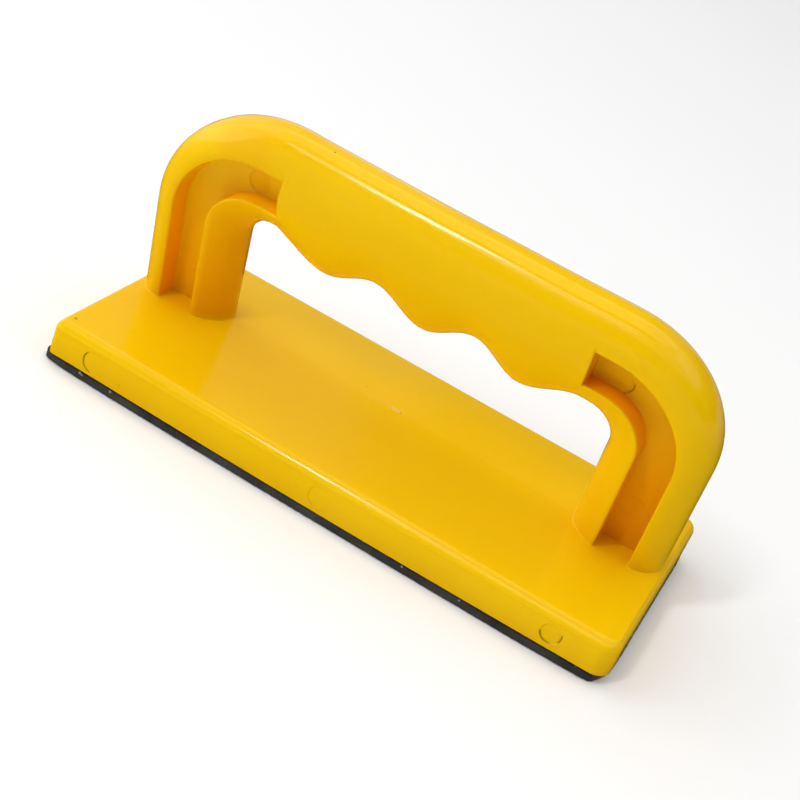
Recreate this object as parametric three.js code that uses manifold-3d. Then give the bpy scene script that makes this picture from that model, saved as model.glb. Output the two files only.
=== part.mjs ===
// Hand sanding block: a one-piece moulded body (arched handle with finger grooves, standing
// on a thick rectangular base plate), an adhesive sheet and a foam pad under the base.
// Millimetres, +Z up. Origin: centre of the pad's working face.
// +X runs along the base to the right end, -Y is the side the handle leans towards.
import * as THREE from 'three';
import { mergeVertices } from 'three/addons/utils/BufferGeometryUtils.js';
import Module from 'manifold-3d';

// ---------------------------------------------------------------- driving dimensions
const BASE_L = 165.0;          // base plate length, X
const BASE_W = 71.8;           // base plate width, Y
const BASE_T = 10.4;           // base plate thickness
const BASE_CORNER_R = 4.5;     // vertical corners of the base plate
const NEAR_LEFT_R = 1.6;       // the near left corner is tighter
const BASE_TOP_R = 2.6;        // rounding of the top edge
const BASE_FOOT_R = 0.5;       // small rounding of the bottom edge

const PAD_T = 2.3;             // foam pad thickness
const SHEET_T = 0.2;           // adhesive sheet thickness
const GAP = 0.2;               // clearance between stacked pieces
const SHEET_INSET = 1.2;       // adhesive sheet stops short of the pad's edge

const LEAN_DEG = 13.0;         // handle leans towards -Y going up
const FOOT_Y = 6.6;            // handle mid-plane at the base top
const GRIP_H = 66.05;          // top of the grip above the base top, at its lowest
const HALF_T = 10.5;           // half thickness of the handle in Y
const SECTION_P_LEG = 2.6;     // squareness of the outer side of the section, on the legs
const SECTION_P_GRIP = 2.25;   // and on the grip
const SECTION_P_IN = 1.9;      // squareness of the inner side of the section

// the two ends of the arch differ slightly: face positions, bend radii and opening height
const RIGHT = { out: 80.4, in: 54.2, outR: 31.8, rimOutR: 23.5, rimInR: 12.5, inR: 8.3, step: 44.0, top: 36.7 };
const LEFT = { out: 80.2, in: 53.8, outR: 36.0, rimOutR: 23.5, rimInR: 13.2, inR: 8.3, step: 42.7, top: 37.7 };
const RIM_OUT_X = 72.7;        // outer rim of a side pocket
const RIM_IN_X = 62.8;         // inner rim of a side pocket
const RIM_OUT_TOP = 54.9;      // height of the pocket's outer rim under the bend
const RIM_IN_TOP = 44.3;       // height of the pocket's inner rim over the bend
const WEB_HALF = 2.0;          // half thickness of the web between the two pockets

// underside of the grip: [x, height] at each finger hollow and each lobe between fingers
const FINGERS = [[-47.5, 37.7], [-29.6, 31.1], [-14.6, 36.8], [-0.3, 30.6], [14.3, 37.1], [27.7, 30.6], [44.4, 36.7]];

const MARK_R = 3.3;            // round ejector marks
const MARK_DEPTH = 0.2;

// ---------------------------------------------------------------- helpers
const wasm = await Module();
wasm.setup();

function toSolid(geometry) {
  const g = geometry.clone();
  for (const name of Object.keys(g.attributes)) if (name !== 'position') g.deleteAttribute(name);
  const m = mergeVertices(g, 1e-4);
  return new wasm.Manifold(new wasm.Mesh({
    numProp: 3,
    vertProperties: new Float32Array(m.attributes.position.array),
    triVerts: new Uint32Array(m.index.array),
  }));
}

function toGeometry(solid) {
  const mesh = solid.simplify(0.02).getMesh();
  const g = new THREE.BufferGeometry();
  g.setAttribute('position', new THREE.BufferAttribute(new Float32Array(mesh.vertProperties), 3));
  g.setIndex(new THREE.BufferAttribute(new Uint32Array(mesh.triVerts), 1));
  g.computeVertexNormals();
  return g;
}

// Closed skin over rings of equal length; both ends are closed with a fan on their centroid.
function loft(rings) {
  const n = rings[0].length;
  const pos = [];
  const idx = [];
  for (const ring of rings) for (const p of ring) pos.push(p.x, p.y, p.z);
  for (let k = 0; k + 1 < rings.length; k++) {
    for (let i = 0; i < n; i++) {
      const j = (i + 1) % n;
      const a = k * n + i, b = k * n + j, c = (k + 1) * n + j, d = (k + 1) * n + i;
      idx.push(a, b, c, a, c, d);
    }
  }
  const cap = (k, flip) => {
    const centre = new THREE.Vector3();
    for (const p of rings[k]) centre.add(p);
    centre.divideScalar(n);
    const ci = pos.length / 3;
    pos.push(centre.x, centre.y, centre.z);
    for (let i = 0; i < n; i++) {
      const j = (i + 1) % n;
      if (flip) idx.push(ci, k * n + j, k * n + i); else idx.push(ci, k * n + i, k * n + j);
    }
  };
  cap(0, true);
  cap(rings.length - 1, false);
  const g = new THREE.BufferGeometry();
  g.setAttribute('position', new THREE.Float32BufferAttribute(pos, 3));
  g.setIndex(idx);
  return g;
}

// Rounded rectangle outline, counter-clockwise seen from +Z.
function outline(lx, ly, radii, inset, z, seg) {
  const hx = lx / 2 - inset, hy = ly / 2 - inset;
  const pts = [];
  for (const [sx, sy, a0, r] of [[1, 1, 0, radii[0]], [-1, 1, 90, radii[1]], [-1, -1, 180, radii[2]], [1, -1, 270, radii[3]]]) {
    const rr = Math.max(r - inset, 0.4), cx = sx * (hx - rr), cy = sy * (hy - rr);
    for (let i = 0; i <= seg; i++) {
      const a = THREE.MathUtils.degToRad(a0 + (90 * i) / seg);
      pts.push(new THREE.Vector3(cx + rr * Math.cos(a), cy + rr * Math.sin(a), z));
    }
  }
  return pts;
}

function cylinderAlongY(r, length, x, y, z, seg = 20) {
  const g = new THREE.CylinderGeometry(r, r, length, seg);
  g.translate(x, y, z);
  return g;
}

// ---------------------------------------------------------------- handle profile (x, z)
// Four nested curves of the arch, each followed from the right foot to the left foot:
// outer face, outer rim, inner rim, inner face.
const FOOT_Z = -3.0;           // the legs start inside the base plate
const groove = (x) => {
  let k = 0;
  while (k < FINGERS.length - 2 && x > FINGERS[k + 1][0]) k++;
  const [xa, za] = FINGERS[k], [xb, zb2] = FINGERS[k + 1];
  const t = Math.min(1, Math.max(0, (x - xa) / (xb - xa)));
  return za + (zb2 - za) * (0.5 - 0.5 * Math.cos(Math.PI * t));
};
const gripTop = (x) => GRIP_H + 0.85 * THREE.MathUtils.smoothstep(-x, 0, 50) + 0.2 * THREE.MathUtils.smoothstep(x, 30, 46);
const curves = {
  out: (side) => ({ x: side.out, r: side.outR, top: side === RIGHT ? gripTop(46) : gripTop(-46), under: gripTop }),
  rimOut: (side) => ({ x: RIM_OUT_X, r: side.rimOutR, top: RIM_OUT_TOP, under: () => RIM_OUT_TOP }),
  rimIn: (side) => ({ x: RIM_IN_X, r: side.rimInR, top: RIM_IN_TOP, under: () => RIM_IN_TOP }),
  in: (side) => ({ x: side.in, r: side.inR, top: side.top, under: groove }),
};
const LEG_SEG = 4, BEND_SEG = 11, GRIP_SEG = 44;
// up the right leg and round its bend, across the grip, then down the left leg
function along(curve, k) {
  const half = (c, j) => {
    const cx = c.x - c.r, cz = c.top - c.r;
    if (j <= LEG_SEG) return [c.x, FOOT_Z + ((cz - FOOT_Z) * j) / LEG_SEG];
    const a = ((j - LEG_SEG) / BEND_SEG) * Math.PI / 2;
    return [cx + c.r * Math.cos(a), cz + c.r * Math.sin(a)];
  };
  const nHalf = LEG_SEG + BEND_SEG;
  const right = curve(RIGHT), left = curve(LEFT);
  if (k <= nHalf) return half(right, k);
  if (k >= nHalf + GRIP_SEG) {
    const [x, z] = half(left, 2 * nHalf + GRIP_SEG - k);
    return [-x, z];
  }
  const s = (k - nHalf) / GRIP_SEG;
  const x = THREE.MathUtils.lerp(right.x - right.r, left.r - left.x, s);
  // the underside leaves the bend at the opening's height and joins the finger wave smoothly
  const w = Math.min(1, Math.min(s, 1 - s) / 0.06);
  return [x, right.under(x) * w + (s < 0.5 ? right.top : left.top) * (1 - w)];
}
const STATIONS = 2 * (LEG_SEG + BEND_SEG) + GRIP_SEG;

// Section of the arch at one station: a ring in the plane of thickness and profile.
const SIDE_OUT = [0, 8, 20, 36, 56, 78];   // angles from the outer face to the middle
const SIDE_IN = [78, 56, 36, 18];
function ring(k) {
  const o = along(curves.out, k), a = along(curves.rimOut, k), b = along(curves.rimIn, k), i = along(curves.in, k);
  const m = [(a[0] + b[0]) / 2, (a[1] + b[1]) / 2];
  const grip = THREE.MathUtils.smoothstep(m[1], 40, 50);
  const pOut = THREE.MathUtils.lerp(SECTION_P_LEG, SECTION_P_GRIP, grip);
  const half = [];
  const put = (end, p, deg) => {
    const t = THREE.MathUtils.degToRad(deg);
    const w = Math.pow(Math.cos(t), 2 / p), h = HALF_T * Math.pow(Math.sin(t), 2 / p);
    half.push([m[0] + (end[0] - m[0]) * w, h, m[1] + (end[1] - m[1]) * w]);
  };
  for (const d of SIDE_OUT) put(o, pOut, d);
  half.push([m[0], HALF_T, m[1]]);
  for (const d of SIDE_IN) put(i, SECTION_P_IN, d);
  put(i, SECTION_P_IN, 0);
  const pts = half.map(([x, y, z]) => new THREE.Vector3(x, -y, z));
  for (let j = half.length - 2; j > 0; j--) pts.push(new THREE.Vector3(half[j][0], half[j][1], half[j][2]));
  return pts.reverse();
}
const rings = [];
for (let k = 0; k <= STATIONS; k++) rings.push(ring(k));
let handle = toSolid(loft(rings));

// ---------------------------------------------------------------- side pockets in the legs
function pocketShape(side, end) {
  const pts = [];
  const push = (x, z) => pts.push(new THREE.Vector2(side * x, z));
  const bend = (x, r, top, rev) => {
    const seq = [];
    for (let j = 0; j <= BEND_SEG; j++) {
      const a = (j / BEND_SEG) * Math.PI / 2;
      seq.push([x - r + r * Math.cos(a), top - r + r * Math.sin(a)]);
    }
    if (rev) seq.reverse();
    for (const [u, v] of seq) push(u, v);
  };
  push(RIM_OUT_X, FOOT_Z - 2);
  bend(RIM_OUT_X, end.rimOutR, RIM_OUT_TOP, false);
  push(end.step, RIM_OUT_TOP);
  push(end.step, RIM_IN_TOP);
  bend(RIM_IN_X, end.rimInR, RIM_IN_TOP, true);
  push(RIM_IN_X, FOOT_Z - 2);
  return new THREE.Shape(pts);
}
for (const side of [1, -1]) {
  const g = new THREE.ExtrudeGeometry(pocketShape(side, side > 0 ? RIGHT : LEFT), { depth: 20, bevelEnabled: false });
  g.rotateX(Math.PI / 2);                       // the shape's height becomes Z, its depth -Y
  const near = g.clone().translate(0, -WEB_HALF, 0);
  const far = g.clone().translate(0, WEB_HALF + 20, 0);
  handle = handle.subtract(toSolid(near)).subtract(toSolid(far));
  for (const [x, z] of side > 0 ? [[51.6, 47.1], [67.4, 13.6]] : [[-52.8, 47.6], [-69.2, 13.4]]) {
    handle = handle.subtract(toSolid(cylinderAlongY(MARK_R, 10, x, -WEB_HALF + MARK_DEPTH - 5, z)));
  }
}

// lean the upright handle and set it on the base plate
const baseTop = PAD_T + SHEET_T + 2 * GAP + BASE_T;
const lean = Math.tan(THREE.MathUtils.degToRad(LEAN_DEG));
{
  const g = toGeometry(handle);
  const shear = new THREE.Matrix4().set(
    1, 0, 0, 0,
    0, 1, -lean, FOOT_Y,
    0, 0, 1, baseTop,
    0, 0, 0, 1,
  );
  g.applyMatrix4(shear);
  handle = toSolid(g);
}

// ---------------------------------------------------------------- base plate
const zb = baseTop - BASE_T;
const CORNERS = [BASE_CORNER_R, BASE_CORNER_R, NEAR_LEFT_R, BASE_CORNER_R];
const plateRings = [];
for (const a of [0, 45, 90]) {
  const t = THREE.MathUtils.degToRad(a);
  plateRings.push(outline(BASE_L, BASE_W, CORNERS, BASE_FOOT_R * (1 - Math.sin(t)), zb + BASE_FOOT_R * (1 - Math.cos(t)), 6));
}
for (const a of [0, 18, 36, 54, 72, 90]) {
  const t = THREE.MathUtils.degToRad(a);
  plateRings.push(outline(BASE_L, BASE_W, CORNERS, BASE_TOP_R * (1 - Math.cos(t)), baseTop - BASE_TOP_R * (1 - Math.sin(t)), 6));
}
let body = toSolid(loft(plateRings)).add(handle);

// ejector marks on the near side face, and the gate's trace on the parting line
for (const x of [-69.0, 0.0, 66.3]) {
  body = body.subtract(toSolid(cylinderAlongY(MARK_R, 10, x, -BASE_W / 2 + MARK_DEPTH - 5, baseTop - 6.0)));
}
const gate = new THREE.BoxGeometry(2.8, 0.8, 0.8);
gate.rotateZ(THREE.MathUtils.degToRad(-4));
gate.translate(0, FOOT_Y, baseTop - 0.1);
body = body.add(toSolid(gate));

// ---------------------------------------------------------------- pad outline
// The foam is cut by hand: full at the near left corner, skewed at the near right corner.
const PAD_EDGE = [
  [-81.6, -34.9], [-79.0, -35.4], [-72.0, -35.8], [-60.0, -36.05], [-40.0, -36.3], [-10.0, -36.5], [30.0, -36.5],
  [50.0, -36.3], [60.0, -36.15], [70.0, -35.9], [75.6, -35.6], [79.5, -35.2],
  [81.0, -32.1], [82.6, -28.4], [82.9, -22.6], [82.9, 32.2], [81.7, 35.1], [78.8, 36.1],
  [-78.8, 36.1], [-81.7, 35.1], [-82.7, 32.2], [-82.9, -20.0], [-83.5, -27.5], [-84.1, -31.2], [-84.1, -33.4], [-83.1, -34.8],
];
function padShape(inset) {
  const kx = 1 - (2 * inset) / BASE_L, ky = 1 - (2 * inset) / BASE_W;
  return new THREE.Shape(PAD_EDGE.map(([x, y]) => new THREE.Vector2(x * kx, y * ky)));
}
const padGeometry = new THREE.ExtrudeGeometry(padShape(0), { depth: PAD_T, bevelEnabled: false });
const sheetGeometry = new THREE.ExtrudeGeometry(padShape(SHEET_INSET), { depth: SHEET_T, bevelEnabled: false });

// ---------------------------------------------------------------- scene graph
const block = new THREE.Group();
function piece(name, geometry, colour, roughness, z = 0) {
  const mesh = new THREE.Mesh(geometry, new THREE.MeshStandardMaterial({ color: colour, roughness, metalness: 0 }));
  mesh.name = name;
  mesh.position.z = z;
  block.add(mesh);
}
piece('moulded_body', toGeometry(body), 0xf2c010, 0.28);
piece('adhesive_sheet', sheetGeometry, 0x8a8378, 0.6, PAD_T + GAP);
piece('foam_pad', padGeometry, 0x232327, 0.9, 0);

export default block;
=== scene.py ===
import math
import bmesh
import bpy
import numpy as np
from mathutils import Matrix, Vector
from mathutils.geometry import delaunay_2d_cdt


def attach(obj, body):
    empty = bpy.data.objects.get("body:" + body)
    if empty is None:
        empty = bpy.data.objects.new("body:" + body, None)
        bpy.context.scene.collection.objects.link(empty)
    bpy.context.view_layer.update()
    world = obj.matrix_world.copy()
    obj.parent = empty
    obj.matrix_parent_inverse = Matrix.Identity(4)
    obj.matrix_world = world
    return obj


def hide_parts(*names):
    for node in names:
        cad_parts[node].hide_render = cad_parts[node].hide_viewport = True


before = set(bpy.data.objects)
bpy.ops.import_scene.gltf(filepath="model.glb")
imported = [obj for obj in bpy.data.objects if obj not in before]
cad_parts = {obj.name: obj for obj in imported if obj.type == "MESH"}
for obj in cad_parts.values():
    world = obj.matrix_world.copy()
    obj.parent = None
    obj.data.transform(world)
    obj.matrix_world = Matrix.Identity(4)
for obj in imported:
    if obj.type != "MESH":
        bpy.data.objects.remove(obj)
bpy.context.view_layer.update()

MM = 0.001
scene = bpy.context.scene
scene.view_settings.view_transform = "Standard"
scene.view_settings.look = "None"

# ------------------------------------------------------------------ dimensions, mm
BASE_L, BASE_W, BASE_T = 165.0, 71.8, 10.4
CORNERS = (4.5, 4.5, 1.6, 4.5)      # far right, far left, near left, near right
TOP_R, END_R, BOTTOM_R = 2.6, 1.5, 0.35    # the top edge is rounder along the long sides
PAD_T, SHEET_T, GAP = 2.3, 0.2, 0.2
BASE_TOP = PAD_T + SHEET_T + 2 * GAP + BASE_T
BASE_BOTTOM = BASE_TOP - BASE_T
LEAN = math.tan(math.radians(13.0))
FOOT_Y = 6.6
HALF_T = 10.5
RIM_OUT_X, RIM_IN_X = 72.7, 62.8
RIM_OUT_TOP, RIM_IN_TOP = 54.9, 44.3
WEB = 2.0
P_LEG, P_GRIP, P_IN = 2.6, 2.25, 1.9
RIM_R, RIM_R_IN, WALL_R, FOOT_R = 0.45, 0.6, 0.8, 0.35
DRAFT = math.tan(math.radians(2.0))
DEPTH = 8.1
# per side: bend radii (out, rim out, rim in, in), step, height of the opening's corner
SIDE = {
    1: dict(x=(80.4, 54.2), r=(31.8, 23.5, 12.5, 8.3), step=44.0, top=36.7),
    -1: dict(x=(80.2, 53.8), r=(36.0, 23.5, 13.2, 8.3), step=42.7, top=37.7),
}
# hollows and lobes of the grip's underside: x, height
FINGERS = ((-47.5, 37.7), (-29.6, 31.1), (-14.6, 36.8), (-0.3, 30.6), (14.3, 37.1), (27.7, 30.6), (44.4, 36.7))
MARK_R = 3.25
FACE_R = 2.85
# ejector marks: centre (x, z), radius, arcs of the ring painted dark as shade (towards, half spread, darkness), where
MARKS = (
    ((51.6, 47.1 + 13.3), 3.25, ((-28, 52, 0.62),), "web"),
    ((67.4, 13.6 + 13.3), 3.25, ((0, 180, 0.12),), "web"),
    ((-52.8, 47.6 + 13.3), 3.25, ((-80, 70, 0.2),), "web"),
    ((-68.9, 7.0), 3.2, ((200, 80, 0.95),), "face"),
    ((0.2, 7.1), 2.85, ((200, 80, 0.15),), "face"),
    ((66.2, 7.2), 2.85, ((237, 60, 1.0), (-4, 36, 0.9)), "face"),
)


def smooth(a, b, x):
    t = np.clip((np.asarray(x, float) - a) / (b - a), 0, 1)
    return t * t * (3 - 2 * t)


def crown(x, y):
    """The base top falls slightly from the parting line to both long edges."""
    d = np.abs(np.asarray(y, float) - FOOT_Y)
    return 0.16 - 0.0085 * np.sqrt(d * d + 0.16)


def plan(x, y, z):
    """The base plate as cooled: the near side face swells a little towards its bottom edge,
    which also dips in the middle, and the left end runs slightly out of square."""
    low = 1 - smooth(BASE_BOTTOM, BASE_TOP - TOP_R, z)
    mid = np.clip(1 - ((x - 3) / 78.0) ** 2, 0, 1) ** 1.2
    near = smooth(-33.5, -35.2, y)
    y2 = y - 0.45 * mid * low * near
    z2 = z - 0.43 * mid * near * (1 - smooth(BASE_BOTTOM + 0.3, BASE_BOTTOM + 6, z))
    edge = smooth(10, -36, y)
    x2 = x + smooth(-60, -80, x) * (0.30 - 0.33 * edge - 0.22 * edge * low)
    return x2, y2, z2


def waver(x, y, seed, size, depth):
    """Smooth low waves, as a cooled moulding has."""
    rng = np.random.default_rng(seed)
    out = np.zeros(np.broadcast(x, y).shape)
    for _ in range(7):
        a, ph = rng.uniform(0, 2 * math.pi, 2)
        k = 2 * math.pi / (size * rng.uniform(0.7, 1.6))
        out = out + np.sin(k * (np.cos(a) * x + np.sin(a) * y) + ph)
    return depth * out / 7


def groove(x):
    """Underside of the grip: a wave with one hollow for each finger."""
    x = np.asarray(x, float)
    z = np.full(x.shape, FINGERS[0][1])
    for (x0, z0), (x1, z1) in zip(FINGERS, FINGERS[1:]):
        t = np.clip((x - x0) / (x1 - x0), 0, 1)
        z = z + (z1 - z0) * (0.5 - 0.5 * np.cos(math.pi * t))
    return z


def grip_top(x):
    return 66.05 + 0.6 * smooth(0, -50, x) + 0.25 * smooth(-38, -48, x) + 0.2 * smooth(30, 46, x)


def lean(x, yp, z):
    return np.stack([np.broadcast_to(x, np.shape(z)), yp + FOOT_Y - z * LEAN, z + BASE_TOP], -1)


class Shell:
    def __init__(self):
        self.v, self.f, self.n = [], [], 0
        self.sunk, self.depth = [], 0.0      # how far each vertex lies below the open face, mm

    def add(self, pts, sunk=None):
        pts = np.asarray(pts, float).reshape(-1, 3)
        self.v.append(pts)
        self.sunk.append(np.full(len(pts), self.depth) if sunk is None else np.asarray(sunk, float))
        ids = np.arange(self.n, self.n + len(pts))
        self.n += len(pts)
        return ids

    def quads(self, a, b, flip=False, closed=False):
        """A strip of faces between two rows of vertices."""
        m = len(a)
        for i in range(m if closed else m - 1):
            j = (i + 1) % m
            q = [a[i], a[j], b[j], b[i]]
            q = [x for n, x in enumerate(q) if x != q[n - 1]]
            if len(q) > 2:
                self.f.append(tuple(q[::-1] if flip else q))

    def mesh(self, name, material):
        me = bpy.data.meshes.new(name)
        v = np.concatenate(self.v) * MM
        me.from_pydata(v.tolist(), [], [tuple(int(i) for i in f) for f in self.f])
        me.validate()
        me.update()
        me.attributes.new("recess", "FLOAT", "POINT").data.foreach_set("value", np.clip(np.concatenate(self.sunk) / 8.0, 0, 1).astype(np.float32))
        # painted shade in the crevices round the ejector marks, stored per vertex
        me.attributes.new("crevice_shade", "FLOAT", "POINT").data.foreach_set("value", crevice_shade(v / MM).astype(np.float32))
        bm = bmesh.new()
        bm.from_mesh(me)
        bmesh.ops.delete(bm, geom=[x for x in bm.verts if not x.link_faces], context="VERTS")
        bmesh.ops.recalc_face_normals(bm, faces=bm.faces)
        for f in bm.faces:
            f.smooth = True
        bm.to_mesh(me)
        bm.free()
        o = bpy.data.objects.new(name, me)
        scene.collection.objects.link(o)
        me.materials.append(material)
        return o


def crevice_shade(v):
    """Painted shade in the crevices round the ejector marks."""
    up = v[:, 1] - FOOT_Y + (v[:, 2] - BASE_TOP) * LEAN
    out = np.zeros(len(v))
    for (x, z), r, arcs, ok in MARKS:
        on = (v[:, 1] < -34.0) if ok == "face" else ((np.abs(up + WEB) < 0.6) & (v[:, 2] > BASE_TOP + 1))
        d = np.hypot(v[:, 0] - x, v[:, 2] - z)
        for way, spread, dark in arcs:
            ang = np.degrees(np.arctan2(v[:, 2] - z, v[:, 0] - x)) - way
            ang = np.abs((ang + 180) % 360 - 180)
            out = np.maximum(out, on * dark * np.exp(-((d - r + 0.05) / 0.17) ** 2) * (1 - smooth(0.55 * spread, spread, ang)))
    return out


def inside(poly, p):
    """Whether each point p lies in the polygon, and how far it is from its edge."""
    a, b = poly, np.roll(poly, -1, 0)
    res = np.zeros(len(p), bool)
    dist = np.full(len(p), 1e9)
    for (x0, y0), (x1, y1) in zip(a, b):
        d = np.array([x1 - x0, y1 - y0])
        q = p - (x0, y0)
        t = np.clip((q @ d) / max(d @ d, 1e-12), 0, 1)
        dist = np.minimum(dist, np.hypot(q[:, 0] - t * d[0], q[:, 1] - t * d[1]))
        if y0 != y1:
            c = (p[:, 1] > min(y0, y1)) & (p[:, 1] <= max(y0, y1))
            xi = x0 + (p[:, 1] - y0) * (x1 - x0) / (y1 - y0)
            res ^= c & (p[:, 0] < xi)
    return res, dist


def fill(shell, loops, lift, inner, margin=0.3):
    """Triangles over the area inside loops[0] and outside the other loops. Each loop is
    (flat points, vertex ids); lift places an inner point in space."""
    pts = [np.asarray(l[0], float) for l in loops]
    keep = np.asarray(inner, float).reshape(-1, 2)
    if len(keep):
        ok, d = inside(pts[0], keep)
        ok &= d > margin
        for p in pts[1:]:
            i, d = inside(p, keep)
            ok &= ~i & (d > margin)
        keep = keep[ok]
    ids = [np.asarray(l[1]) for l in loops]
    edges, start = [], 0
    for p in pts:
        m = len(p)
        edges += [(start + i, start + (i + 1) % m) for i in range(m)]
        start += m
    flat = np.concatenate(pts + ([keep] if len(keep) else []))
    if len(keep):
        ids.append(shell.add(lift(keep[:, 0], keep[:, 1])))
    ids = np.concatenate(ids)
    vs, _, fs, orig, _, _ = delaunay_2d_cdt([Vector(p) for p in flat], edges, [], 0, 1e-7)
    back = [o[0] if o else None for o in orig]
    if any(b is None for b in back):
        raise ValueError("an outline crosses itself")
    mid = np.array([flat[[back[i] for i in f]].mean(0) for f in fs])
    ok, _ = inside(pts[0], mid)
    for p in pts[1:]:
        ok &= ~inside(p, mid)[0]
    for f, use in zip(fs, ok):
        if use:
            shell.f.append(tuple(int(ids[back[i]]) for i in f))


def hexgrid(x0, x1, y0, y1, step, seed=1):
    rng = np.random.default_rng(seed)
    out, r = [], 0
    y = y0
    while y <= y1:
        xs = np.arange(x0 + (step / 2 if r % 2 else 0), x1, step)
        out.append(np.stack([xs, np.full(len(xs), y)], 1))
        y += step * 0.866
        r += 1
    out = np.concatenate(out)
    return out + rng.uniform(-0.04, 0.04, out.shape) * step


# ejector marks: centre, radius, depth, tilt. Rings of points carry the step at the edge.
def mark_points(c, r):
    out = [np.array([c])]
    for rr, n in ((0.35 * r, 8), (0.7 * r, 20), (r - 0.42, 44), (r - 0.28, 56), (r - 0.18, 60), (r - 0.1, 64), (r - 0.03, 64), (r + 0.05, 64), (r + 0.15, 64), (r + 0.3, 60)):
        a = np.linspace(0, 2 * math.pi, n, endpoint=False) + rr
        out.append(np.stack([c[0] + rr * np.cos(a), c[1] + rr * np.sin(a)], 1))
    return np.concatenate(out)


def mark_depth(u, v, c, r, depth, tilt, cut=()):
    """Positive is into the part: a disc a little below the face, a fine raised flash round it,
    and a crevice along the ring on the side that cut points to."""
    d = np.hypot(u - c[0], v - c[1])
    base = depth
    for way, spread, deep in cut:
        ang = np.degrees(np.arctan2(v - c[1], u - c[0])) - way
        ang = np.abs((ang + 180) % 360 - 180)
        depth = depth + deep * np.exp(-((d - r + 0.05) / 0.14) ** 2) * (1 - smooth(0.6 * spread, spread, ang))
    hollow = depth - base
    plane = base + tilt[0] * (u - c[0]) / r + tilt[1] * (v - c[1]) / r
    return plane * (1 - smooth(r - 0.16, r - 0.02, d)) - 0.05 * smooth(r - 0.1, r, d) * (1 - smooth(r, r + 0.25, d)) + hollow


def clear(points, centres, r):
    for c in centres:
        points = points[np.hypot(points[:, 0] - c[0], points[:, 1] - c[1]) > r + 0.5]
    return points


# ------------------------------------------------------------------ handle
N_LEG, N_BEND, N_TRANS, N_MID = 40, 46, 4, 8
FIL = np.radians([0, 22.5, 45, 67.5, 90])
WALLF = (0.25, 0.6, 1.0)
BOT = np.radians([22.5, 45, 67.5, 90])


def profile(r_top, depth):
    """How a pocket's edge goes in: (distance past the rim, kind, value) from the face to the web."""
    rows = [(-r_top + r_top * math.sin(a), "top", r_top * (1 - math.cos(a))) for a in FIL]
    run = (DEPTH - r_top - WALL_R) * DRAFT
    rows += [(run * w, "wall", w) for w in WALLF]
    rows += [(run + WALL_R * (1 - math.cos(a)), "bot", WALL_R * (1 - math.sin(a))) for a in BOT]
    return rows


def level(full, r_top, kind, value):
    """Height of the surface for one entry of profile(), where the unbroken face is at full."""
    if kind == "top":
        return full - value
    if kind == "wall":
        return full - (r_top + value * (full - WEB - WALL_R - r_top))
    return WEB + value


PROF_A, PROF_B = profile(RIM_R, DEPTH), profile(RIM_R_IN, DEPTH)
PROF_S = profile(0.4, DEPTH)


def stations():
    """Rows along the arch from the right foot to the left one: four points of the profile,
    squareness of the outer half, and what the row is."""
    rows = []

    def half(side):
        s = SIDE[side]
        xs = (s["x"][0], RIM_OUT_X, RIM_IN_X, s["x"][1])
        tops = (float(grip_top(side * 43.5)), RIM_OUT_TOP, RIM_IN_TOP, s["top"])
        out = []
        x_tr = s["step"] + PROF_S[-1][0] + 0.16
        for j in range(N_LEG + N_BEND + N_TRANS + 1):
            p = []
            for x, top, r in zip(xs, tops, s["r"]):
                cx, cz = x - r, top - r
                if j <= N_LEG:
                    p.append((x, FOOT_R + (cz - FOOT_R) * j / N_LEG))
                elif j <= N_LEG + N_BEND:
                    a = (j - N_LEG) / N_BEND * math.pi / 2
                    p.append((cx + r * math.cos(a), cz + r * math.sin(a)))
                else:
                    w = (j - N_LEG - N_BEND) / N_TRANS
                    p.append((cx + (x_tr - cx) * w, top))
            w = smooth(0.25, 1.0, (j - N_LEG) / N_BEND)
            out.append(([np.array((side * x, z)) for x, z in p], P_LEG + (P_GRIP - P_LEG) * float(w), side, None))
        return out

    def across(x, side, step):
        g = float(groove(x))
        w = float(smooth(46.5, 41.0, abs(x)))
        s = SIDE[1 if x > 0 else -1]
        g = g * w + s["top"] * (1 - w)
        pts = [np.array((x, z)) for z in (float(grip_top(np.clip(x, -43.5, 43.5))), RIM_OUT_TOP, RIM_IN_TOP, g)]
        return (pts, P_GRIP, side, step)

    rows += half(1)
    for e in reversed(PROF_S):
        rows.append(across(SIDE[1]["step"] + e[0], 1, e))
    x0, x1 = SIDE[1]["step"] - 0.7, -SIDE[-1]["step"] + 0.7
    n = 96
    for i in range(n + 1):
        rows.append(across(x0 + (x1 - x0) * i / n, 0, None))
    for e in PROF_S:
        rows.append(across(-SIDE[-1]["step"] - e[0], -1, e))
    rows += half(-1)[::-1]
    return rows


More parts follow.
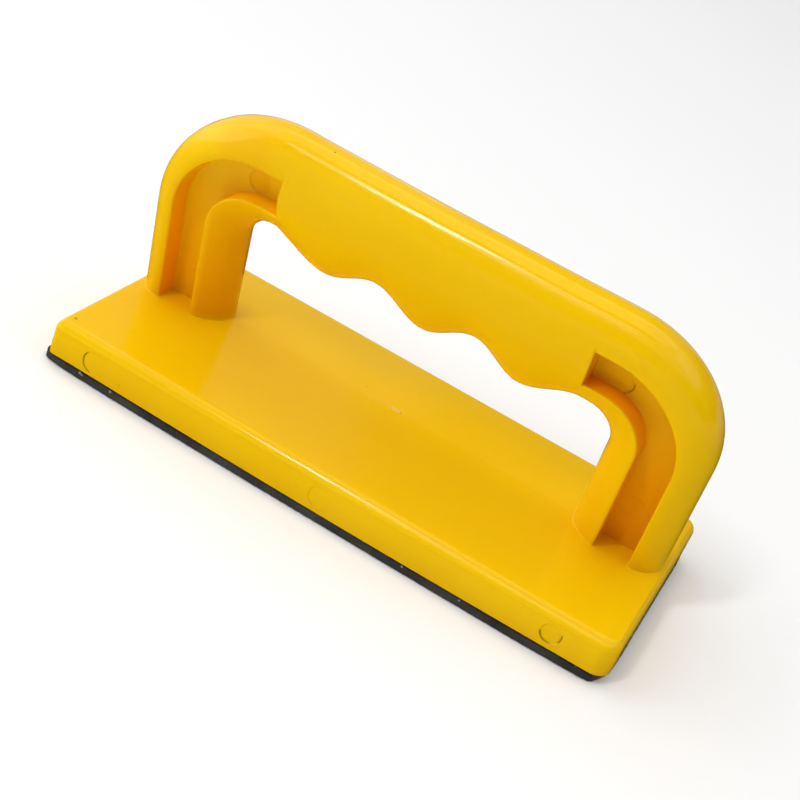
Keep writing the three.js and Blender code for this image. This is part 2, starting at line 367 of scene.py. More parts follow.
def section(pts, p_out, side, step):
    """One row of the near side, from the outer edge to the inner edge: place in the profile
    plane, and height off the mid-plane."""
    O, A, B, I = pts
    M = (A + B) / 2
    lo, li = np.linalg.norm(O - M), np.linalg.norm(I - M)
    la, lb = np.linalg.norm(A - M), np.linalg.norm(B - M)
    ua, ub = la / lo, lb / li
    do, di = (O - A) / np.linalg.norm(O - A), (I - B) / np.linalg.norm(I - B)
    ia, ib = (M - A) / la, (M - B) / lb
    pocket = side != 0
    P, full, side_h = [], [], []

    def face(u, p):
        return HALF_T * max(1 - u ** p, 0) ** (1 / p)

    def flange(end, rim, u_rim, length, p, r_top, n, roll):
        """From the edge at y' = 0 in to the start of the rim's rounding."""
        out = []
        us = u_rim + r_top / length
        for y, rise in ((0, 0.05), (0.12, 0.045), (0.3, 0.0), (0.8, 0.0)):
            u = (1 - (y / HALF_T) ** p) ** (1 / p)
            out.append((u, y, rise))
        t0, t1 = math.asin((0.8 / HALF_T) ** (p / 2)), math.acos(us ** (p / 2))
        for i in range(1, n + 1):
            u = math.cos(t0 + (t1 - t0) * i / n) ** (2 / p)
            out.append((u, face(u, p), 0.0))
        d = (end - rim) / np.linalg.norm(end - rim)
        res = []
        for u, h, rise in out:
            s = (u - u_rim) / (1 - u_rim)
            q = rim + (end - rim) * s + d * rise
            away = np.linalg.norm(rim - q)
            res.append((q, h, h - roll(away)))
        return res

    low = float(1 - smooth(20.0, 44.0, A[1])) if side == -1 else 0.0
    proud = 0.62 if side < 0 else 0.34
    roll_a = lambda d: (proud + 0.35 * low) * max(0.0, 1 - d / (2.6 + 1.0 * low)) ** 2
    wide = float(1 - smooth(30.0, 48.0, B[1])) if side == -1 else 0.0
    roll_b = lambda d: (0.22 + 0.38 * wide) * max(0.0, 1 - d / (1.2 + 0.8 * wide)) ** 2
    for q, h, hs in flange(O, A, ua, lo, p_out, RIM_R, 17, roll_a):
        P.append(q), full.append(h), side_h.append(hs)
    ha, hb = face(ua, p_out) - roll_a(0), face(ub, P_IN) - roll_b(0)
    for d, kind, val in PROF_A[1:]:
        P.append(A + (ia * d if d > 0 else do * -d))
        u = ua - d / lo
        f = face(u, p_out)
        full.append(f)
        side_h.append(level(f - roll_a(max(-d, 0)) if kind == "top" else ha, RIM_R, kind, val))
    ea, eb = A + ia * PROF_A[-1][0], B + ib * PROF_B[-1][0]
    for j in range(1, N_MID):
        q = ea + (eb - ea) * j / N_MID
        P.append(q)
        if np.dot(q - M, A - M) > 0:
            full.append(face(np.linalg.norm(q - M) / lo, p_out))
        else:
            full.append(face(np.linalg.norm(q - M) / li, P_IN))
        side_h.append(WEB)
    for d, kind, val in PROF_B[:0:-1]:
        P.append(B + (ib * d if d > 0 else di * -d))
        f = face(ub - d / li, P_IN)
        full.append(f)
        side_h.append(level(f - roll_b(max(-d, 0)) if kind == "top" else hb, RIM_R_IN, kind, val))
    tail = flange(I, B, ub, li, P_IN, RIM_R_IN, 14, roll_b)
    for q, h, hs in tail[::-1]:
        P.append(q), full.append(h), side_h.append(hs)
    P, full, side_h = np.array(P), np.array(full), np.array(side_h)
    if not pocket:
        return P, full, full
    if step is None:
        return P, side_h, full
    _, kind, val = step
    over = level(full, 0.4, kind, val)
    return P, np.minimum(np.maximum(side_h, over), full), full


K_OUT = 4 + 17                       # columns before the outer rim's rounding ends
K_A = K_OUT + len(PROF_A) - 2        # column where the web starts, outer side
K_B = K_A + N_MID                    # and where it ends, inner side


def build_body(material):
    sh = Shell()
    rows = stations()
    P, H, F = [], [], []
    for r in rows:
        p, h, f = section(*r)
        P.append(p), H.append(h), F.append(f)
    P, H, F = np.array(P), np.array(H), np.array(F)
    # the step's line bows a little towards the pocket
    for side in (1, -1):
        xs = side * SIDE[side]["step"]
        bow = 0.5 * (1 - ((P[..., 1] - 49.6) / 6.5) ** 2)
        w = np.exp(-((P[..., 0] - xs) / 3.0) ** 2) * (1 - smooth(5.0, 11.0, np.abs(P[..., 1] - 49.6)))
        P[..., 0] += side * (np.clip(bow, -0.6, 0.5)) * w * (0.35 if side > 0 else 1.0)
    nr, nc = H.shape
    n_half = N_LEG + N_BEND + N_TRANS + 1
    web_rows = [range(0, n_half + 1), range(nr - n_half - 1, nr)]   # up to the step's foot
    hole = np.zeros((nr, nc), bool)
    for rr in web_rows:
        rr = list(rr)
        hole[rr[1:-1], K_A + 1:K_B] = True
    near, far = np.full((nr, nc), -1), np.full((nr, nc), -1)
    for i in range(nr):
        for side, grid in ((-1, near), (1, far)):
            use = [k for k in range(nc) if not hole[i, k] and not (side > 0 and k in (0, nc - 1))]
            pts = lean(P[i, use, 0], side * H[i, use], P[i, use, 1])
            grid[i, use] = sh.add(pts, F[i, use] - H[i, use])
    far[:, 0], far[:, -1] = near[:, 0], near[:, -1]
    for i in range(nr - 1):
        in_web = any(i in rr and i + 1 in rr for rr in web_rows)
        for grid, flip in ((near, False), (far, True)):
            if in_web:
                sh.quads(grid[i, :K_A + 1], grid[i + 1, :K_A + 1], flip)
                sh.quads(grid[i, K_B:], grid[i + 1, K_B:], flip)
            else:
                sh.quads(grid[i], grid[i + 1], flip)
    # webs
    for side, rr, marks in ((1, web_rows[0], [((51.6, 47.1), 0.16, (0.07, -0.07), ((-28, 52, 0.3),)), ((67.4, 13.6), 0.10, (0.03, 0.0), ())]),
                            (-1, web_rows[1], [((-52.8, 47.6), 0.16, (0.0, -0.07), ((-80, 60, 0.08),)), ((-69.2, 13.4), 0.06, (0.0, 0.0), ())])):
        rr = list(rr)
        idx = [(i, K_A) for i in rr] + [(rr[-1], k) for k in range(K_A + 1, K_B)] + [(i, K_B) for i in rr[::-1]] + [(rr[0], k) for k in range(K_B - 1, K_A, -1)]
        loop = np.array([P[i, k] for i, k in idx])
        grid0 = hexgrid(loop[:, 0].min(), loop[:, 0].max(), 0, 56, 1.1, 5)
        for grid, s in ((near, -1), (far, 1)):
            m = marks if s < 0 else []
            inner = clear(grid0, [q[0] for q in m], MARK_R)
            for c, _, _, _ in m:
                inner = np.concatenate([inner, mark_points(c, MARK_R)])

            def lift(x, z, s=s, m=m):
                _, d = inside(loop, np.stack([x, z], 1))
                h = np.full(len(x), WEB) + waver(x, z, 3, 22, 0.05) * smooth(0, 2, d)
                for c, dep, tilt, cut in m:
                    h = h - mark_depth(x, z, c, MARK_R, dep, tilt, cut) * smooth(0.0, 0.5, d)
                return lean(x, s * h, z)
            sh.depth = 8.0
            fill(sh, [(loop, [grid[i, k] for i, k in idx])], lift, inner, 0.22)
            sh.depth = 0.0
    # feet: a small rounding down to the base top
    holes = []
    for i in (0, nr - 1):
        ids = list(near[i]) + list(far[i, nc - 2:0:-1])
        xy = np.array([(P[i, k, 0], -H[i, k]) for k in range(nc)] + [(P[i, k, 0], H[i, k]) for k in range(nc - 2, 0, -1)])
        e = np.roll(xy, -1, 0) - np.roll(xy, 1, 0)
        n = np.stack([e[:, 1], -e[:, 0]], 1)
        n /= np.linalg.norm(n, axis=1)[:, None]
        area = 0.5 * np.sum(xy[:, 0] * np.roll(xy[:, 1], -1) - np.roll(xy[:, 0], -1) * xy[:, 1])
        n *= 1 if area > 0 else -1
        prev = np.array(ids)
        for a in np.radians([30, 60, 90]):
            q = xy + n * FOOT_R * (1 - math.cos(a))
            z = np.full(len(q), FOOT_R * (1 - math.sin(a)))
            pts = lean(q[:, 0], q[:, 1], z)
            pts[:, 2] += crown(pts[:, 0], pts[:, 1]) * math.sin(a) ** 2
            cur = sh.add(pts)
            sh.quads(prev, cur, closed=True)
            prev = cur
        holes.append((pts[:, :2], prev))

    # base plate
    def outline(inset, inset_x=None, lx=BASE_L, ly=BASE_W, radii=CORNERS, step=1.1, seg=10):
        inset_x = inset if inset_x is None else inset_x
        hx, hy = lx / 2 - inset_x, ly / 2 - inset
        pts, near_ids = [], None
        arcs = []
        for (sx, sy, a0), r in zip(((1, 1, 0), (-1, 1, 90), (-1, -1, 180), (1, -1, 270)), radii):
            rx, ry = max(r - inset_x, 0.25), max(r - inset, 0.25)
            cx, cy = sx * (hx - rx), sy * (hy - ry)
            arcs.append([(cx + rx * math.cos(math.radians(a0 + 90 * i / seg)), cy + ry * math.sin(math.radians(a0 + 90 * i / seg))) for i in range(seg + 1)])
        count = (int((BASE_L - 9) / step), int((BASE_W - 9) / step), int((BASE_L - 9) / step), int((BASE_W - 9) / step))
        for k in range(4):
            pts += arcs[k]
            a, b = arcs[k][-1], arcs[(k + 1) % 4][0]
            start = len(pts) - 1
            pts += [(a[0] + (b[0] - a[0]) * i / count[k], a[1] + (b[1] - a[1]) * i / count[k]) for i in range(1, count[k])]
            if k == 2:
                near_ids = list(range(start, len(pts) + 1))
        return np.array(pts), near_ids

    rings = []
    levels = [(1.0, BASE_BOTTOM, 0)]
    levels += [(BOTTOM_R * (1 - math.sin(a)), BASE_BOTTOM + BOTTOM_R * (1 - math.cos(a)), 0) for a in np.radians([0, 30, 60, 90])]
    z_lo, z_hi = BASE_BOTTOM + BOTTOM_R, BASE_TOP - TOP_R
    levels += [(0, z_lo + (z_hi - z_lo) * i / 7, 0) for i in range(1, 8)]
    first_side, last_side = 4, 11
    flat = 2 / 1.55
    levels += [(TOP_R * (1 - math.cos(a) ** flat), z_hi + TOP_R * math.sin(a) ** flat, math.sin(a) ** 2) for a in np.radians((5, 11, 18, 26, 35, 45, 55, 64, 72, 79, 85, 90))]
    for inset, z, w in levels:
        xy, near_ids = outline(inset, inset * END_R / TOP_R if z > z_hi else None)
        px, py, pz = plan(xy[:, 0], xy[:, 1], np.full(len(xy), z))
        if inset > 0.9 and z < z_lo:
            py, pz = xy[:, 1], np.full(len(xy), z)
        pz = pz + crown(xy[:, 0], xy[:, 1]) * w
        rings.append((sh.add(np.stack([px, py, pz], 1)), xy))
    n_out = len(rings[0][0])
    for j in range(len(rings) - 1):
        a, b = rings[j][0], rings[j + 1][0]
        if first_side <= j < last_side:
            keep = [i for i in range(n_out) if not (near_ids[0] <= i < near_ids[-1])]
            for i in keep:
                k = (i + 1) % n_out
                sh.f.append((a[i], a[k], b[k], b[i]))
        else:
            sh.quads(a, b, closed=True)
    # near face with its ejector marks
    i0, i1 = near_ids[0], near_ids[-1]
    lo_ring, hi_ring = rings[first_side], rings[last_side]
    idx = [(lo_ring, i) for i in near_ids] + [(rings[j], i1) for j in range(first_side + 1, last_side)] + [(hi_ring, i) for i in near_ids[::-1]] + [(rings[j], i0) for j in range(last_side - 1, first_side, -1)]
    zs = {id(rings[j]): levels[j][1] for j in range(len(rings))}
    loop = np.array([(r[1][i, 0], zs[id(r)]) for r, i in idx])
    ids = [r[0][i] for r, i in idx]
    face_r = lambda c: 3.2 if c[0] < -50 else FACE_R
    marks = [((-68.9, BASE_TOP - 6.3), 0.12, (-0.05, 0.03), ((200, 80, 0.35),)), ((0.2, BASE_TOP - 6.2), 0.06, (0.0, 0.02), ((200, 70, 0.04),)),
             ((66.2, BASE_TOP - 6.1), 0.20, (0.02, -0.06), ((237, 55, 0.42), (-4, 32, 0.35)))]
    inner = clear(hexgrid(-81, 81, z_lo, z_hi, 1.1, 7), [m[0] for m in marks], 3.2)
    inner = np.concatenate([inner] + [mark_points(m[0], face_r(m[0])) for m in marks])

    def lift(x, z):
        d = np.minimum(z - z_lo, z_hi - z)
        y = np.full(len(x), -BASE_W / 2) + np.abs(waver(x, z, 11, 34, 0.07)) * smooth(0, 1.6, d)
        for c, dep, tilt, cut in marks:
            y = y + mark_depth(x, z, c, face_r(c), dep, tilt, cut) * smooth(0, 0.35, d)
        px, py, pz = plan(x, np.full(len(x), -BASE_W / 2), z)
        return np.stack([px, py + y + BASE_W / 2, pz], 1)
    fill(sh, [(loop, ids)], lift, inner, 0.12)
    # base top with the gate's trace on the parting line
    top_ids, top_xy = rings[-1]
    grid0 = hexgrid(-82, 82, -35, 35, 1.5, 9)
    grid0 = grid0[np.abs(grid0[:, 1] - FOOT_Y) > 1.0]
    line = np.concatenate([np.stack([np.arange(-81, 81, 0.8), np.full(203, FOOT_Y + o)], 1)[:203] for o in (-0.55, -0.2, 0.0, 0.2, 0.55)])
    ca, sa = math.cos(math.radians(-4)), math.sin(math.radians(-4))
    gx, gy = -1.1, FOOT_Y

    def gate_uv(x, y):
        return (x - gx) * ca + (y - gy) * sa, -(x - gx) * sa + (y - gy) * ca

    def not_gate(p):
        u, v = gate_uv(p[:, 0], p[:, 1])
        return p[~((np.abs(u) < 2.4) & (np.abs(v) < 1.1))]
    gp = []
    for u in np.arange(-2.25, 2.26, 0.15):
        for v in np.arange(-0.9, 0.91, 0.12):
            gp.append((gx + u * ca - v * sa, gy + u * sa + v * ca))
    inner = np.concatenate([not_gate(grid0), not_gate(line), np.array(gp)])
    edge_pts, _ = outline(TOP_R + 0.35, END_R + 0.3)
    inner = np.concatenate([inner, edge_pts])

    def lift_top(x, y):
        d = np.minimum(BASE_L / 2 - END_R - np.abs(x), BASE_W / 2 - TOP_R - np.abs(y))
        z = BASE_TOP + crown(x, y) + waver(x, y, 21, 48, 0.07) * smooth(0, 6, d)
        z = z + 0.025 * np.exp(-((y - FOOT_Y) / 0.16) ** 2) * smooth(0, 1.5, d)
        u, v = gate_uv(x, y)
        z = z + 0.5 * (1 - smooth(1.55, 1.85, np.abs(u))) * (1 - smooth(0.2, 0.5, np.abs(v)))
        return np.stack([plan(x, y, z)[0], y, z], 1)
    fill(sh, [(top_xy, top_ids)] + holes, lift_top, inner, 0.18)
    # underside
    fill(sh, [(rings[0][1], rings[0][0])], lambda x, y: np.stack([x, y, np.full(len(x), BASE_BOTTOM)], 1), hexgrid(-82, 82, -35, 35, 6.0, 2), 0.5)
    o = sh.mesh("body_shell", material)
    wn = o.modifiers.new("normals", "WEIGHTED_NORMAL")
    wn.mode = "FACE_AREA"
    wn.weight = 50
    wn.keep_sharp = True
    return o


# ------------------------------------------------------------------ foam pad
PAD_EDGE = (
    (-81.6, -34.7), (-79.0, -35.2), (-72.0, -35.6), (-60.0, -35.85), (-40.0, -36.1), (-10.0, -36.3), (30.0, -36.3),
    (50.0, -36.1), (60.0, -35.95), (70.0, -35.7), (75.6, -35.4), (79.5, -35.05),     # near edge
    (80.9, -32.0), (82.3, -28.3), (82.55, -22.6), (82.6, 32.2), (81.6, 35.0), (78.8, 36.0),
    (-78.8, 36.0), (-81.6, 35.0), (-82.6, 32.2), (-82.8, -20.0), (-83.5, -27.5), (-84.5, -31.2), (-84.5, -33.2), (-83.3, -34.6),
)


def pad_outline(step, soft=0.8):
    """The hand-cut edge of the pad: full at the near left corner, skewed at the near right."""
    p = np.array(PAD_EDGE)
    q = np.roll(p, -1, 0)
    seg = np.linalg.norm(q - p, axis=1)
    at = np.concatenate([[0], np.cumsum(seg)])
    n = int(at[-1] / step)
    s = np.arange(n) * at[-1] / n
    loop = np.concatenate([p, p[:1]])
    pts = np.stack([np.interp(s, at, loop[:, k]) for k in (0, 1)], 1)
    reach = int(3 * soft / step)
    w = np.exp(-0.5 * (np.arange(-reach, reach + 1) * step / soft) ** 2)
    w /= w.sum()
    return sum(wi * np.roll(pts, k, 0) for wi, k in zip(w, range(-reach, reach + 1)))


def build_pad(material):
    sh = Shell()
    rng = np.random.default_rng(31)
    base = pad_outline(0.55)
    n = len(base)
    e = np.roll(base, -1, 0) - np.roll(base, 1, 0)
    nrm = np.stack([e[:, 1], -e[:, 0]], 1)
    nrm /= np.linalg.norm(nrm, axis=1)[:, None]
    s = np.linspace(0, 1, n, endpoint=False)
    drift = sum(rng.uniform(0.3, 1) * np.sin(2 * math.pi * (k * s + rng.uniform())) for k in (3, 5, 9, 14, 23, 37)) / 6
    rings, prev = [], None
    rows = [(0.42, 0.0), (0.12, 0.05), (0.0, 0.22), (-0.06, 0.6), (-0.02, 1.0), (0.0, 1.4), (-0.04, 1.8), (0.02, 2.1), (0.14, 2.26), (0.42, PAD_T)]
    rough = rng.normal(0, 1, (len(rows), n))
    rough = (rough + np.roll(rough, 1, 1)) / 2
    for j, (inset, z) in enumerate(rows):
        k = 0.05 if 0 < j < len(rows) - 1 else 0.0
        off = -inset + 0.10 * drift + k * np.clip(rough[j], -1.4, 1.0)
        xy = base + nrm * off[:, None]
        zz = np.full(n, z) + (0.03 * np.roll(rough[j], 7) if 1 < j < len(rows) - 2 else 0)
        cur = sh.add(np.stack([xy[:, 0], xy[:, 1], zz], 1))
        if prev is not None:
            sh.quads(prev, cur, closed=True)
        prev = cur
        rings.append((xy, cur))
    grid = hexgrid(-84, 84, -37, 37, 1.6, 33)
    cells = rng.normal(0, 1, len(grid))
    it = [0]

    def face(x, y, up):
        z = np.full(len(x), PAD_T if up else 0.0)
        dent = np.clip(waver(x, y, 77, 9, 0.12) + waver(x, y, 78, 3.5, 0.08), 0, 0.08)
        return np.stack([x, y, z - dent if up else z + dent], 1)
    fill(sh, [rings[0]], lambda x, y: face(x, y, False), grid, 0.3)
    fill(sh, [rings[-1]], lambda x, y: face(x, y, True), grid, 0.3)
    return sh.mesh("pad_foam", material)
# ------------------------------------------------------------------ materials
class Nodes:
    def __init__(self, name):
        self.m = bpy.data.materials.new(name)
        self.m.use_nodes = True
        self.t = self.m.node_tree
        self.bsdf = self.t.nodes["Principled BSDF"]
        self.coord = self.t.nodes.new("ShaderNodeTexCoord").outputs["Object"]

    def new(self, kind, **values):
        n = self.t.nodes.new("ShaderNode" + kind)
        for k, v in values.items():
            if hasattr(n, k) and k not in n.inputs:
                setattr(n, k, v)
            else:
                n.inputs[k].default_value = v
        return n

    def link(self, a, b):
        self.t.links.new(a, b)

    def noise(self, scale, detail=3.0, rough=0.5, stretch=None, distort=0.0):
        n = self.new("TexNoise", Scale=scale, Detail=detail, Roughness=rough, Distortion=distort)
        src = self.coord
        if stretch:
            mp = self.new("Mapping")
            mp.inputs["Scale"].default_value = stretch
            self.link(src, mp.inputs["Vector"])
            src = mp.outputs["Vector"]
        self.link(src, n.inputs["Vector"])
        return n.outputs["Fac"]

    def ramp(self, src, stops):
        n = self.new("ValToRGB")
        while len(n.color_ramp.elements) < len(stops):
            n.color_ramp.elements.new(0.5)
        for e, (pos, col) in zip(n.color_ramp.elements, stops):
            e.position = pos
            e.color = col if len(col) == 4 else (*col, 1)
        self.link(src, n.inputs["Fac"])
        return n.outputs["Color"]

    def span(self, src, a, b, c, d):
        n = self.new("MapRange")
        for k, v in zip(("From Min", "From Max", "To Min", "To Max"), (a, b, c, d)):
            n.inputs[k].default_value = v
        self.link(src, n.inputs["Value"])
        return n.outputs["Result"]

    def math(self, op, a, b=None):
        n = self.new("Math", operation=op)
        for i, x in enumerate((a, b)):
            if x is None:
                continue
            if isinstance(x, (int, float)):
                n.inputs[i].default_value = x
            else:
                self.link(x, n.inputs[i])
        return n.outputs[0]

    def field(self, name):
        n = self.new("Attribute")
        n.attribute_type, n.attribute_name = "GEOMETRY", name
        return n.outputs["Fac"]

    def spots(self, places, inner=0.5, outer=1.2):
        """Round patches at given places: (x, y, z, radius) in mm, on the object."""
        total = None
        for x, y, z, r in places:
            n = self.new("VectorMath", operation="DISTANCE")
            self.link(self.coord, n.inputs[0])
            n.inputs[1].default_value = (x * MM, y * MM, z * MM)
            one = self.span(n.outputs["Value"], inner * r * MM, outer * r * MM, 1, 0)
            total = one if total is None else self.math("MAXIMUM", total, one)
        return total

    def mix(self, fac, a, b, blend="MIX"):
        n = self.t.nodes.new("ShaderNodeMix")
        n.data_type = "RGBA"
        n.blend_type = blend
        for sock, x in zip((n.inputs[0], n.inputs[6], n.inputs[7]), (fac, a, b)):
            if isinstance(x, (int, float)):
                sock.default_value = x
            elif isinstance(x, tuple):
                sock.default_value = (*x, 1)
            else:
                self.link(x, sock)
        return n.outputs[2]

    def bump(self, height, distance, strength=1.0, normal=None):
        n = self.new("Bump", Strength=strength, Distance=distance)
        self.link(height, n.inputs["Height"])
        if normal is not None:
            self.link(normal, n.inputs["Normal"])
        return n.outputs["Normal"]


def moulded_plastic():
    k = Nodes("gloss_yellow_plastic")
    b = k.bsdf
    b.inputs["IOR"].default_value = 1.49
    b.inputs["Specular IOR Level"].default_value = 0.22
    # pigment: nearly even, with faint flow streaks and clouds
    cloud = k.noise(26, 3)
    streak = k.noise(18, 4, 0.55, (0.5, 3.0, 3.0), 0.6)
    col = k.mix(k.span(cloud, 0.35, 0.65, 0, 1), (0.925, 0.548, 0.0012), (0.945, 0.572, 0.0018))
    col = k.mix(k.span(streak, 0.42, 0.7, 0.0, 0.12), col, (0.96, 0.62, 0.005))
    # tiny dark specks of dust in the moulding
    vor = k.new("TexVoronoi", Scale=210, Randomness=1.0)
    k.link(k.coord, vor.inputs["Vector"])
    near = k.span(vor.outputs["Distance"], 0.035, 0.075, 1, 0)
    sel = k.new("TexWhiteNoise")
    k.link(vor.outputs["Position"], sel.inputs["Vector"])
    rare = k.math("GREATER_THAN", sel.outputs["Value"], 0.985)
    col = k.mix(k.math("MULTIPLY", k.math("MULTIPLY", near, rare), 0.75), col, (0.22, 0.10, 0.01))
    # painted shade and bounce light down in the side pockets: by depth below the face, the walls and webs are
    # multiplied deeper and redder, the webs lighter towards the top and on the ejector discs
    split = k.new("SeparateXYZ")
    k.link(k.coord, split.inputs[0])
    height = split.outputs["Z"]
    along = k.span(split.outputs["X"], -0.03, 0.03, 0, 1)
    web = k.mix(along, (1.0, 0.97, 0.6), (0.96, 0.76, 0.6))
    web = k.mix(k.span(height, 0.034, 0.060, 0, 1), web, k.mix(along, (1.07, 1.18, 4.0), (1.02, 1.04, 4.0)))
    web = k.mix(k.spots(((51.6, -6.3, 60.4, 3.2), (-52.8, -6.4, 60.9, 3.2)), 0.97, 1.03), web, (1.06, 1.06, 2.0))
    sunk = k.field("recess")
    wall = k.mix(along, (1.07, 0.82, 0.5), (0.98, 0.73, 0.5))
    wall = k.mix(k.span(height, 0.050, 0.060, 0, 1), wall, k.mix(along, (1.0, 0.97, 0.7), (0.96, 0.63, 0.4)))
    deep = k.mix(k.span(sunk, 0.86, 0.99, 0, 1), wall, web)
    col = k.mix(k.span(sunk, 0.04, 0.25, 0.0, 1.0), col, deep, "MULTIPLY")
    # painted shade: the inner face of the left leg, turned from the main light, is multiplied a shade redder and
    # darker, less so towards the bend
    side = k.math("MULTIPLY", k.span(split.outputs["X"], -0.0640, -0.0605, 0, 1), k.span(split.outputs["X"], -0.0510, -0.0460, 1, 0))
    side = k.math("MULTIPLY", side, k.span(height, 0.0138, 0.0160, 0, 1))
    col = k.mix(k.math("MULTIPLY", side, k.span(height, 0.040, 0.056, 1, 0.3)), col, (0.97, 0.76, 0.5), "MULTIPLY")
    # painted shade: the base plate is multiplied a little darker towards its bottom edge, next to the dark pad
    col = k.mix(k.span(height, 0.0032, 0.0088, 1, 0), col, (0.90, 0.86, 1.0), "MULTIPLY")
    # painted highlight: the trace of the trimmed gate in the middle of the base is painted pale where its raised dash
    # catches the light
    gate = k.spots(tuple((-2.6 + 0.5 * i, 6.75 - 0.035 * i, 13.75, 0.40) for i in range(7)), 0.6, 1.3)
    col = k.mix(k.math("MULTIPLY", gate, 0.42), col, (1.0, 0.88, 0.42))
    # painted shade in the crevices of the ejector marks, and a few dark flecks on the near face
    fleck = k.spots(((-65.3, -35.8, 12.1, 0.5), (-56.3, -35.7, 12.4, 0.35), (-60.3, -36.3, 5.3, 0.4), (-79.6, -31.2, 13.3, 0.55), (-49.5, -35.7, 12.3, 0.3)))
    shade_and_flecks = k.math("MAXIMUM", k.math("MULTIPLY", k.field("crevice_shade"), 0.85), k.math("MULTIPLY", fleck, 0.6))
    col = k.mix(shade_and_flecks, col, (0.10, 0.055, 0.008))
    k.link(col, b.inputs["Base Color"])
    # polish: even gloss with handled, slightly duller clouds
    r = k.span(k.noise(38, 4, 0.6), 0.3, 0.7, 0.11, 0.165)
    fine = k.span(k.noise(900, 2), 0.3, 0.7, -0.015, 0.02)
    k.link(k.math("ADD", r, fine), b.inputs["Roughness"])
    # surface: slow flow waves, orange peel, hair scratches
    n = k.bump(k.noise(32, 2), 0.00035, 0.5)
    n = k.bump(k.noise(420, 2), 0.000022, 0.7, n)
    scr = k.noise(60, 2, 0.5, (1.0, 40.0, 40.0), 1.5)
    line = k.span(scr, 0.735, 0.75, 0, 1)
    n = k.bump(line, 0.000006, 0.5, n)
    k.link(n, b.inputs["Normal"])
    return k.m


def foam():
    k = Nodes("black_foam")
    b = k.bsdf
    b.inputs["IOR"].default_value = 1.4
    b.inputs["Specular IOR Level"].default_value = 0.3
    b.inputs["Sheen Weight"].default_value = 0.12
    b.inputs["Sheen Roughness"].default_value = 0.6
    mott = k.noise(90, 4, 0.6)
    col = k.mix(k.span(mott, 0.35, 0.65, 0, 1), (0.017, 0.016, 0.015), (0.048, 0.047, 0.046))
    vor = k.new("TexVoronoi", Scale=1500, Randomness=1.0)
    k.link(k.coord, vor.inputs["Vector"])
    cell = vor.outputs["Distance"]
    col = k.mix(k.span(cell, 0.0, 0.5, 0.5, 0.0), col, (0.004, 0.004, 0.005))
    # pale dust caught in the open cells
    v2 = k.new("TexVoronoi", Scale=330, Randomness=1.0)
    k.link(k.coord, v2.inputs["Vector"])
    spot = k.span(v2.outputs["Distance"], 0.06, 0.13, 1, 0)
    sel = k.new("TexWhiteNoise")
    k.link(v2.outputs["Position"], sel.inputs["Vector"])
    rare = k.math("GREATER_THAN", sel.outputs["Value"], 0.965)
    col = k.mix(k.math("MULTIPLY", k.math("MULTIPLY", spot, rare), 0.55), col, (0.30, 0.27, 0.20))
    dust = k.spots(((-72.1, -35.6, 2.0, 0.42), (-71.4, -35.6, 1.7, 0.3), (-62.2, -35.9, 1.9, 0.36), (26.6, -36.3, 2.0, 0.3), (42.9, -36.2, 2.0, 0.26)))
    col = k.mix(k.math("MULTIPLY", dust, 0.6), col, (0.55, 0.52, 0.46))
    k.link(col, b.inputs["Base Color"])
    k.link(k.span(k.noise(400, 3), 0.3, 0.7, 0.82, 0.97), b.inputs["Roughness"])
    n = k.bump(cell, 0.0002, 0.9)
    n = k.bump(k.noise(700, 4, 0.7), 0.0001, 0.5, n)
    k.link(n, b.inputs["Normal"])
    return k.m


def adhesive():
    k = Nodes("adhesive_film")
    b = k.bsdf
    b.inputs["IOR"].default_value = 1.46
    col = k.mix(k.span(k.noise(70, 4, 0.6), 0.35, 0.65, 0, 1), (0.24, 0.21, 0.17), (0.36, 0.32, 0.26))
    k.link(col, b.inputs["Base Color"])
    k.link(k.span(k.noise(160, 3), 0.3, 0.7, 0.42, 0.62), b.inputs["Roughness"])
    k.link(k.bump(k.noise(500, 3), 0.00004, 0.6), b.inputs["Normal"])
    return k.m


def pale_floor():
    k = Nodes("pale_floor")
    b = k.bsdf
    col = k.mix(k.span(k.noise(3, 3), 0.3, 0.7, 0, 1), (0.98, 0.98, 0.98), (0.99, 0.99, 0.99))
    k.link(col, b.inputs["Base Color"])
    b.inputs["Roughness"].default_value = 0.9
    b.inputs["Specular IOR Level"].default_value = 0.2
    return k.m


# ------------------------------------------------------------------ the object
plastic, foam_mat = moulded_plastic(), foam()
body = build_body(plastic)
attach(body, "root")
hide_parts("moulded_body")
pad = build_pad(foam_mat)
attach(pad, "root")
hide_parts("foam_pad")
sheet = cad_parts["adhesive_sheet"]
sheet.material_slots[0].material = adhesive()

# ------------------------------------------------------------------ stage, camera, light
me = bpy.data.meshes.new("floor")
me.from_pydata([(-1.35, -1.35, -0.0001), (1.35, -1.35, -0.0001), (1.35, 1.35, -0.0001), (-1.35, 1.35, -0.0001)], [], [(0, 1, 2, 3)])
floor = bpy.data.objects.new("floor", me)
scene.collection.objects.link(floor)
me.materials.append(pale_floor())

cam_data = bpy.data.cameras.new("camera")
cam = bpy.data.objects.new("camera", cam_data)
scene.collection.objects.link(cam)
cam_data.sensor_width = 36.0
cam_data.lens = 69.9584
cam_data.shift_x = 0.001292
cam_data.shift_y = -0.006155
cam_data.clip_start, cam_data.clip_end = 0.01, 20
axes = Matrix(((0.848276, 0.419972, 0.322569), (0.481668, -0.358785, -0.799543), (-0.220053, 0.833604, -0.506636)))
turn = axes.transposed() @ Matrix.Diagonal((1, -1, -1))
cam.matrix_world = Matrix.Translation(Vector((89.557, -338.878, 228.296)) * MM) @ turn.to_4x4()
scene.camera = cam


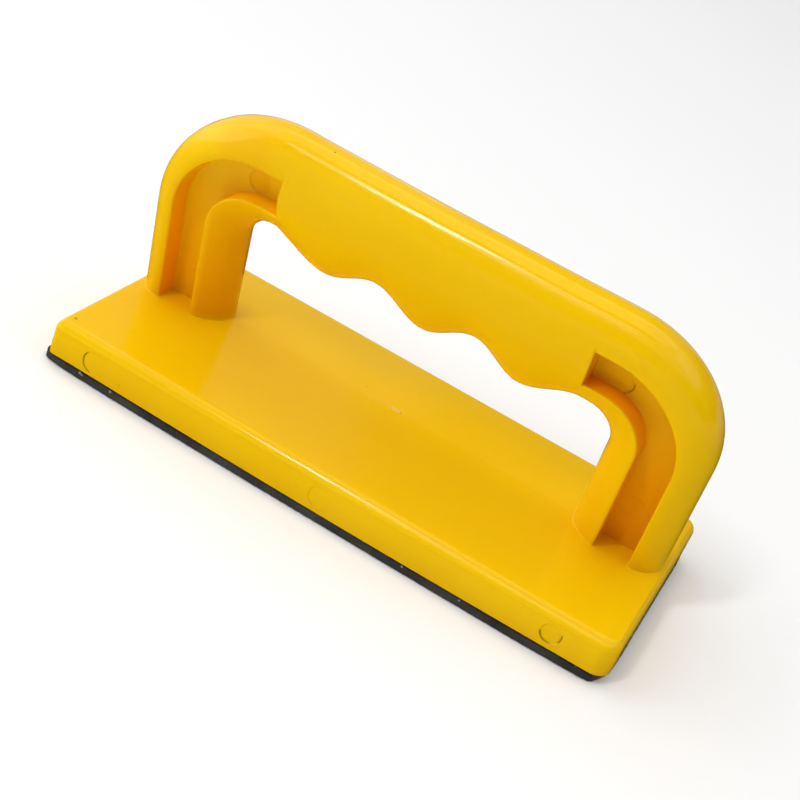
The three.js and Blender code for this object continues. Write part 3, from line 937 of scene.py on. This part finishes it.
def softbox(name, loc, target, size, power, color=(1, 1, 1)):
    d = bpy.data.lights.new(name, "AREA")
    d.shape = "RECTANGLE"
    d.size, d.size_y = size
    d.energy = power
    d.color = color
    o = bpy.data.objects.new(name, d)
    scene.collection.objects.link(o)
    o.location = loc
    o.rotation_euler = (Vector(target) - Vector(loc)).to_track_quat("-Z", "Y").to_euler()
    return o


def around(az, el, dist=2.0):
    a, e = math.radians(az), math.radians(el)
    return (dist * math.cos(e) * math.cos(a), dist * math.cos(e) * math.sin(a), dist * math.sin(e))


# a light tent of soft panels, 2 m out: (azimuth, elevation, width, height, watts)
TENT = (
    (90, 80, 2.0, 2.0, 15.5),
    (0, 45, 0.80, 1.07, 4.0), (30, 45, 0.80, 1.07, 2.6), (60, 45, 0.80, 1.07, 0.8), (120, 45, 0.80, 1.07, 1.1), (150, 45, 0.80, 1.07, 3.2),
    (180, 45, 0.80, 1.07, 5.0), (210, 45, 0.80, 1.07, 3.0), (270, 45, 0.80, 1.07, 1.3), (300, 45, 0.80, 1.07, 1.4), (330, 45, 0.80, 1.07, 2.2),
    (90, 15, 1.07, 1.07, 0.9), (120, 15, 1.07, 1.07, 2.0), (150, 15, 1.07, 1.07, 2.5), (180, 15, 1.07, 1.07, 5.6), (210, 15, 1.07, 1.07, 7.4),
    (240, 15, 1.07, 1.07, 1.2), (300, 15, 1.07, 1.07, 0.6),
)
AIM = (0, 0, 0.03)
for az, el, w, h, watts in TENT:
    softbox("panel_%d_%d" % (az, el), around(az, el), AIM, (w, h), watts)
softbox("strip", (-0.242, -0.56, 0.82), AIM, (0.05, 0.24), 1.9)
softbox("front", around(262, 52, 1.0), AIM, (0.34, 0.34), 0.62)
floor.visible_glossy = False
world = bpy.data.worlds.new("world")
scene.world = world
world.use_nodes = True
world.node_tree.nodes["Background"].inputs[0].default_value = (1, 1, 1, 1)
sky = world.node_tree
where = sky.nodes.new("ShaderNodeTexCoord")
split = sky.nodes.new("ShaderNodeSeparateXYZ")
fade = sky.nodes.new("ShaderNodeValToRGB")
shift = sky.nodes.new("ShaderNodeMapRange")
shift.inputs["From Min"].default_value, shift.inputs["From Max"].default_value = -0.5, 0.5
sky.links.new(where.outputs["Generated"], split.inputs[0])
sky.links.new(split.outputs["Z"], shift.inputs["Value"])
sky.links.new(shift.outputs["Result"], fade.inputs["Fac"])
while len(fade.color_ramp.elements) < 6:
    fade.color_ramp.elements.new(0.5)
for e, (pos, v) in zip(fade.color_ramp.elements, ((0.0, 0.01), (0.16, 0.02), (0.40, 0.36), (0.485, 0.36), (0.515, 0.04), (1.0, 0.03))):
    e.position, e.color = pos, (v, v, v, 1)
# the tent's own cloth, seen past the floor's edge, is plain and pale
path = sky.nodes.new("ShaderNodeLightPath")
cloth = sky.nodes.new("ShaderNodeMix")
cloth.data_type = "FLOAT"
cloth.inputs[3].default_value = 0.96
sky.links.new(path.outputs["Is Camera Ray"], cloth.inputs[0])
sky.links.new(fade.outputs["Color"], cloth.inputs[2])
sky.links.new(cloth.outputs[0], sky.nodes["Background"].inputs["Strength"])
